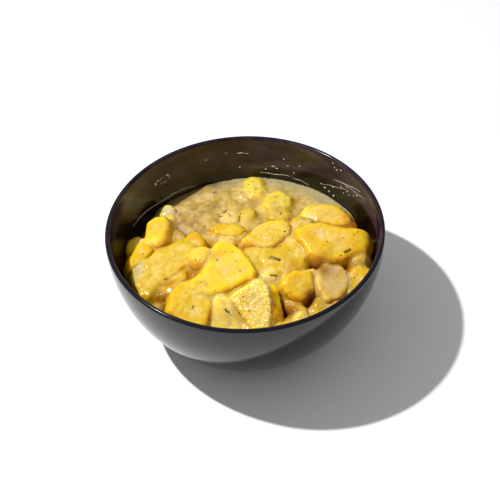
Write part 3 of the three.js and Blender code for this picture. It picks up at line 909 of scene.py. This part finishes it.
CHIVE_RISE = 0.35  # of its middle above the surface, as a share of its radius
CHIVES = [  # place, heading, length, radius, bend
    ((-3.4, 32.6), 75, 5, 0.6, 0.3),
    ((16.8, -10.1), -28, 6.5, 0.9, 0.2),
    ((15.2, -21.6), 5, 4, 0.6, 0.2),
    ((58.1, -8.9), 25, 4.5, 0.8, 0.2),
    ((-11.5, -45.9), -40, 3.5, 0.65, 0.3),
    ((19.6, -36), -40, 4.5, 0.9, 0.4),
    ((-14.8, 38.7), 12, 11, 0.35, 1.2),
    ((-26, 42), 20, 5, 0.35, 0.6),
    ((-12, 42), 60, 4, 0.4, 0.8),
    ((-9, 39), 100, 3, 0.4, 0.9),
]


def make_chives(surface):
    parts = []
    for (x, y), heading, length, radius, bend in CHIVES:
        lying = surface.lying(x, y, CHIVE_RISE * radius)
        turn = Matrix.Rotation(math.radians(heading), 4, "Z")
        parts.append(placed(tube_form(length, radius, bend), lying @ turn))
    return joined_mesh("chive_bits", parts)


PEPPER_COUNT = 560
PEPPER_SIZE = (0.18, 0.55)
PEPPER_FLATNESS = 0.7
PEPPER_RISE = 0.1
PEPPER_SPAN = 140  # it is scattered over a square this wide
PEPPER_REACH = 69  # as far as this from the bowl's axis
PEPPER_SHARE = 0.35  # of the specks that stay where they are thinnest
CROWD_PLACE, CROWD_RADIUS = (-5, 38), 30  # where more of them lie
PEPPER_SEED = 77


def make_pepper(surface):
    draw = random_source(PEPPER_SEED)
    form = lump_form(steps=4, segments=6, seed=3)
    parts = []
    while len(parts) < PEPPER_COUNT:
        x, y = (PEPPER_SPAN * next(draw) - PEPPER_SPAN / 2 for _ in range(2))
        apart = (x - CROWD_PLACE[0]) ** 2 + (y - CROWD_PLACE[1]) ** 2
        crowd = math.exp(-apart / CROWD_RADIUS ** 2)
        if math.hypot(x, y) > PEPPER_REACH or next(draw) > PEPPER_SHARE + crowd:
            continue
        size = between(PEPPER_SIZE, next(draw) ** 2)
        stretch = Matrix.Diagonal((size * (1 + next(draw)), size, size * PEPPER_FLATNESS, 1))
        turn = Matrix.Rotation(6.28 * next(draw), 4, "Z")
        parts.append(placed(form, surface.lying(x, y, PEPPER_RISE) @ turn @ stretch))
    return joined_mesh("pepper_specks", parts)


# Dried splashes on the inner wall, coloured light as painted highlights of glints on the wet wall: bearing,
# height, length and width
SPLASH_GLINTS = [
    (97.4, 61.7, 2.4, 0.5), (91, 60.8, 5, 0.7), (88, 60.3, 2.5, 0.4), (107.2, 59.3, 1.2, 0.8),
    (91.5, 51, 1.1, 0.9), (75.5, 52.4, 2.6, 0.7), (73.8, 51.4, 1.4, 0.7), (68.6, 54.5, 0.9, 0.6),
    (62.9, 56.5, 1.0, 0.8), (70.7, 58.8, 1.2, 0.5), (79.1, 50, 0.9, 0.8), (65.3, 50.8, 1.0, 0.8),
    (45.6, 69.2, 1.3, 0.6), (43, 65.8, 1.4, 0.7), (40.6, 67.4, 1.4, 0.6), (44.5, 66.6, 0.8, 0.5),
    (48.2, 49.3, 1.8, 0.7), (43.9, 52.6, 1.6, 0.6), (39.3, 56, 1.6, 0.6), (45.5, 48.4, 1.5, 0.8),
    (42.4, 47.6, 1.0, 1.6), (35.2, 56.2, 1.0, 0.9), (33.5, 55, 0.9, 0.7), (28.2, 59.8, 1.1, 0.8),
    (50.5, 50.5, 1.2, 0.5), (37, 53.5, 0.9, 0.6), (30.5, 57.2, 0.8, 0.6), (36, 59, 1.2, 0.5),
]
SPLASH_THICKNESS, SPLASH_OFF = 0.16, 0.03
SPLASH_TILT = 0.5  # how far the wall under them leans out
# A smeared patch on the left of the back wall, whose streaks are coloured light as painted highlights too:
# bearing, height, spread of both, and how many streaks
SMEAR = (129.5, 57.5, 5.5, 3.2, 26)
STREAK_REACH = (0.45, 1)
STREAK_LENGTH = (0.6, 2.0)
STREAK_WIDTH = (0.3, 0.6)
SMEAR_SEED = 9


def smear_marks():
    """The streaks of the smeared patch, in the form of the splashes."""
    draw = random_source(SMEAR_SEED)
    bearing, height, spread, rise, count = SMEAR
    marks = []
    for _ in range(count):
        around = 2 * math.pi * next(draw)
        reach = between(STREAK_REACH, next(draw))
        place = (bearing + spread * reach * math.cos(around), height + rise * reach * math.sin(around))
        marks.append((*place, between(STREAK_LENGTH, next(draw)), between(STREAK_WIDTH, next(draw))))
    return marks


def make_splash_glints():
    form = lump_form(steps=6, segments=10, seed=4)
    parts = []
    for bearing, height, length, width in SPLASH_GLINTS + smear_marks():
        a = math.radians(bearing)
        inward = -Vector((math.cos(a), math.sin(a), -SPLASH_TILT)).normalized()
        side = Vector((-math.sin(a), math.cos(a), 0))
        axes = Matrix((side, inward.cross(side), inward)).transposed().to_4x4()
        stretch = Matrix.Diagonal((length / 2, width / 2, SPLASH_THICKNESS, 1))
        place = Matrix.Translation(wall_place(a, height, SPLASH_OFF))
        parts.append(placed(form, place @ axes @ stretch))
    return joined_mesh("wall_splash_glints", parts)


# Thin rims that the dressing has left on the wall above its edge, coloured light as a painted highlight of
# the bright line along it: bearings, heights, thickness
TIDE_LINES = [
    (156, 123, 46.6, 44.6, 0.28), (128, 114, 45.6, 44.6, 0.2),
    (82, 67, 47.3, 47.8, 0.22), (66, 57, 47.6, 46.4, 0.16),
    (44.5, 26, 57.3, 64.4, 0.25), (37, 22, 58.6, 63, 0.15), (50, 34, 50.5, 57.5, 0.14),
]
TIDE_STEPS = 40
TIDE_SIDES = 8
TIDE_WAVE, TIDE_RATE = 0.25, 9
TIDE_END = 0.25  # how thin it is at both ends, as a share


def tide_line(first, last, low, high, radius):
    """Points and quads of one rim, thinning out at both ends."""
    points = []
    for i in range(TIDE_STEPS + 1):
        t = i / TIDE_STEPS
        a = math.radians(first + (last - first) * t)
        height = low + (high - low) * t + TIDE_WAVE * math.sin(TIDE_RATE * t + first)
        centre = np.array(wall_place(a, height))
        inward = -np.array([math.cos(a), math.sin(a), 0])
        thin = radius * between((TIDE_END, 1), math.sin(math.pi * t) ** 0.5)
        for k in range(TIDE_SIDES):
            c = 2 * math.pi * k / TIDE_SIDES
            points.append(centre + thin * (math.cos(c) * inward + math.sin(c) * np.array([0, 0, 1.0])))
    i, k = np.meshgrid(np.arange(TIDE_STEPS), np.arange(TIDE_SIDES), indexing="ij")
    n = (k + 1) % TIDE_SIDES
    rows = np.stack([i, i, i + 1, i + 1], axis=-1) * TIDE_SIDES
    return np.array(points), (rows + np.stack([k, n, n, k], axis=-1)).reshape(-1, 4)


def make_tide_lines():
    return joined_mesh("tide_lines", [tide_line(*line) for line in TIDE_LINES])


# Materials

class Look:
    """A material with its Principled shader, and short ways to add nodes to it."""

    def __init__(self, name, settings=None):
        self.material = bpy.data.materials.new(name)
        self.material.use_nodes = True
        self.shader = self.material.node_tree.nodes["Principled BSDF"]
        for key, value in (settings or {}).items():
            self.shader.inputs[key].default_value = value

    def add(self, kind, **values):
        """A new node. values are for its sockets and its own properties."""
        node = self.material.node_tree.nodes.new(kind)
        for key, value in values.items():
            if key in node.inputs:
                node.inputs[key].default_value = value
            else:
                setattr(node, key, value)
        return node

    def feed(self, socket, source):
        """Feeds a socket from another one, or from a plain number or colour."""
        if isinstance(source, bpy.types.NodeSocket):
            self.material.node_tree.links.new(source, socket)
        else:
            socket.default_value = (*source, 1) if isinstance(source, tuple) else source

    def place(self):
        """The object's own coordinates, in metres."""
        return self.add("ShaderNodeTexCoord").outputs["Object"]

    def attribute(self, name):
        return self.add("ShaderNodeAttribute", attribute_name=name).outputs

    def noise(self, scale, detail=3, roughness=0.5, place=None):
        """Noise of that many waves per metre."""
        node = self.add("ShaderNodeTexNoise", Scale=scale, Detail=detail, Roughness=roughness)
        self.feed(node.inputs["Vector"], place or self.place())
        return node.outputs["Fac"]

    def ramp(self, source, stops):
        """stops are (place, colour or grey value)."""
        node = self.add("ShaderNodeValToRGB")
        elements = node.color_ramp.elements
        while len(elements) < len(stops):
            elements.new(0.5)
        for element, (place, colour) in zip(elements, stops):
            element.position = place
            element.color = (*colour, 1) if isinstance(colour, tuple) else (colour, colour, colour, 1)
        self.feed(node.inputs["Fac"], source)
        return node.outputs["Color"]

    def times(self, first, second):
        node = self.add("ShaderNodeMath", operation="MULTIPLY")
        self.feed(node.inputs[0], first)
        self.feed(node.inputs[1], second)
        return node.outputs[0]

    def blend(self, kind, share, first, second):
        node = self.add("ShaderNodeMix", data_type="RGBA", blend_type=kind)
        for number, value in ((0, share), (6, first), (7, second)):
            self.feed(node.inputs[number], value)
        return node.outputs[2]

    def set(self, **sources):
        """Feeds the shader's sockets, whose names are written with _ for a space."""
        for name, source in sources.items():
            self.feed(self.shader.inputs[name.replace("_", " ")], source)

    def bump(self, *heights):
        """Bumps one on another. heights are (socket, strength, distance in metres)."""
        normal = None
        for height, strength, distance in heights:
            node = self.add("ShaderNodeBump", Strength=strength, Distance=distance)
            self.feed(node.inputs["Height"], height)
            if normal:
                self.feed(node.inputs["Normal"], normal)
            normal = node.outputs["Normal"]
        self.feed(self.shader.inputs["Normal"], normal)


GLAZE = (0.009, 0.008, 0.012)
BLACK_BAND_WALL = (0.003, 0.002, 0.002)
SMEARED_WALL = [(0.36, (0.008, 0.005, 0.007)), (0.52, (0.027, 0.017, 0.026)), (0.74, (0.070, 0.043, 0.056))]
STREAK_FLATNESS = 3.5
BLACK_BAND_TOP = (47.8, 50.2)
BLACK_BAND_SLOPE = 0.12  # it reaches higher on both sides
LIP_BLEND = 0.5
FLOUR = (0.97, 0.88, 0.62)
FLESH_CLOUDS = [(0.3, (0.94, 0.88, 0.6)), (0.7, (1.05, 1.08, 1.6))]
DRESSING_CLOUDS = [(0.3, (0.92, 0.88, 0.74)), (0.7, (1.05, 1.08, 1.25))]


def black_band_share(look):
    """0 on the wall close above the salad, where it is left plain black, and 1 above that."""
    sideways = look.add("ShaderNodeVectorMath", operation="ABSOLUTE")
    look.feed(sideways.inputs[0], look.place())
    height = look.add("ShaderNodeVectorMath", operation="DOT_PRODUCT")
    look.feed(height.inputs[0], sideways.outputs[0])
    height.inputs[1].default_value = (-BLACK_BAND_SLOPE, 0, 1)
    above = look.add("ShaderNodeMapRange", **{"From Min": BLACK_BAND_TOP[0] * MM, "From Max": BLACK_BAND_TOP[1] * MM})
    look.feed(above.inputs["Value"], height.outputs["Value"])
    return above.outputs[0]


def bowl_material():
    look = Look("black_glaze")
    flat = look.add("ShaderNodeVectorMath", operation="MULTIPLY")
    look.feed(flat.inputs[0], look.place())
    flat.inputs[1].default_value = (1, 1, STREAK_FLATNESS)
    smear = look.ramp(look.noise(40, 5, 0.6, flat.outputs[0]), SMEARED_WALL)
    smear = look.blend("MIX", black_band_share(look), BLACK_BAND_WALL, smear)
    inside = look.attribute("inside")["Fac"]
    lip = look.attribute("lip")["Fac"]
    look.set(
        Base_Color=look.blend("MIX", inside, GLAZE, smear),
        Roughness=look.ramp(look.noise(50, 4), [(0.35, 0.12), (0.7, 0.2)]),
        Specular_IOR_Level=look.ramp(lip, [(0, 0.5), (1, 0.12)]),
    )
    look.bump((look.noise(60, 2), 0.04, 0.0008))
    return look.material


def flesh_material(name, roughness, coat, subsurface):
    look = Look(name, {
        "Subsurface Weight": subsurface, "Subsurface Radius": (1.0, 0.6, 0.05), "Subsurface Scale": 0.006,
        "Specular IOR Level": 0.15, "Coat Weight": coat, "Coat Roughness": 0.15,
    })
    clouds = look.ramp(look.noise(110), FLESH_CLOUDS)
    colour = look.blend("MULTIPLY", 1.0, look.attribute("tone")["Color"], clouds)
    specks = look.ramp(look.noise(950, 2), [(0.48, 0), (0.64, 1)])
    floury = look.times(specks, look.attribute("grain")["Fac"])
    look.set(
        Base_Color=look.blend("MIX", floury, colour, FLOUR),
        Roughness=look.ramp(look.noise(260), [(0.3, roughness - 0.1), (0.7, roughness + 0.15)]),
    )
    look.bump((look.noise(350), 0.12, 0.0006), (look.noise(1300), 0.3, 0.00025))
    return look.material


def dressing_material():
    look = Look("dressing", {
        "Roughness": 0.45, "Specular IOR Level": 0.15, "Coat Weight": 0.15, "Coat Roughness": 0.2,
        "Subsurface Weight": 0.25, "Subsurface Radius": (1.0, 0.6, 0.15), "Subsurface Scale": 0.004,
    })
    mottle = look.ramp(look.noise(300, 5, 0.6), DRESSING_CLOUDS)
    look.set(Base_Color=look.blend("MULTIPLY", 1.0, look.attribute("tone")["Color"], mottle))
    look.bump((look.noise(300, 4), 0.12, 0.0006), (look.noise(1100, 2), 0.15, 0.0002))
    return look.material


def speck_material(name, dark, light, roughness):
    look = Look(name, {"Roughness": roughness})
    look.set(Base_Color=look.ramp(look.noise(500), [(0.35, dark), (0.65, light)]))
    look.bump((look.noise(1500, 2), 0.3, 0.0002))
    return look.material


# Stage, light and camera

LAMP_PLACE = (-580, 80, 1020)
LAMP_SIZE = 35
LAMP_POWER = 16.0
WORLD_STRENGTH = 0.42
FLOOR_HALF = 3000
FLOOR_COLOUR = (0.86, 0.855, 0.865)

CAMERA_PLACE = (2.53, -612.8, 669.6)
CAMERA_DOWN = 45.168
CAMERA_ROLL = -1.934
CAMERA_LENS = 108
CAMERA_FILM = 36


def make_floor():
    h = FLOOR_HALF
    floor = mesh_object("floor", [(-h, -h, 0), (h, -h, 0), (h, h, 0), (-h, h, 0)], [(0, 1, 2, 3)])
    settings = {"Base Color": (*FLOOR_COLOUR, 1), "Roughness": 0.6, "Specular IOR Level": 0.1}
    floor.data.materials.append(Look("floor_white", settings).material)


def make_light():
    lamp = bpy.data.lights.new("lamp", "AREA")
    lamp.shape = "DISK"
    lamp.size = LAMP_SIZE * MM
    lamp.energy = LAMP_POWER
    holder = bpy.data.objects.new("lamp", lamp)
    holder.location = [c * MM for c in LAMP_PLACE]
    holder.rotation_euler = (-holder.location).to_track_quat("-Z", "Y").to_euler()
    bpy.context.scene.collection.objects.link(holder)
    world = bpy.data.worlds.new("white_room")
    world.use_nodes = True
    world.node_tree.nodes["Background"].inputs["Color"].default_value = (1, 1, 1, 1)
    world.node_tree.nodes["Background"].inputs["Strength"].default_value = WORLD_STRENGTH
    bpy.context.scene.world = world


def make_camera():
    camera = bpy.data.cameras.new("camera")
    camera.lens = CAMERA_LENS
    camera.sensor_width = CAMERA_FILM
    holder = bpy.data.objects.new("camera", camera)
    look = Matrix.Rotation(math.radians(90 - CAMERA_DOWN), 4, "X")
    roll = Matrix.Rotation(math.radians(CAMERA_ROLL), 4, "Z")
    holder.matrix_world = Matrix.Translation([c * MM for c in CAMERA_PLACE]) @ look @ roll
    bpy.context.scene.collection.objects.link(holder)
    bpy.context.scene.camera = holder


def dress(piece, material, slot, *nodes):
    piece.data.materials.append(material)
    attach(piece, "root")
    if nodes:
        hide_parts(*nodes)


bpy.context.scene.view_settings.view_transform = "Standard"
make_floor()
make_light()
make_camera()
dress(make_bowl(), bowl_material(), "bowl_glaze", "bowl")
contents, surface = make_contents()
potato = flesh_material("potato", roughness=0.45, coat=0.18, subsurface=0.8)
onion = flesh_material("onion", roughness=0.3, coat=0.6, subsurface=0.6)
cream = dressing_material()
# light colours: painted highlight along the tide lines, which lie in shade
thin_dressing_glint = speck_material("thin_dressing_glint", (0.30, 0.26, 0.22), (0.55, 0.50, 0.45), 0.25)
# light colours: painted highlights, where the wet wall glints, on its splashes and streaks
splash_glint = speck_material("splash_glint", (0.30, 0.26, 0.22), (0.75, 0.70, 0.64), 0.3)
chive = speck_material("chive", (0.12, 0.055, 0.006), (0.32, 0.19, 0.02), 0.5)
pepper = speck_material("pepper", (0.03, 0.017, 0.006), (0.10, 0.055, 0.015), 0.5)
dress(contents["potato_pieces"], potato, "potato", "potato_heap")
dress(make_core(), cream, "potato", "potato_heap")
dress(contents["onion_pieces"], onion, "onion")
dress(contents["dressing_fine"], cream, "dressing", "dressing")
dress(make_tide_lines(), thin_dressing_glint, "dressing")
dress(make_splash_glints(), splash_glint, "dressing")
dress(make_chives(surface), chive, "chive")
dress(make_pepper(surface), pepper, "pepper")
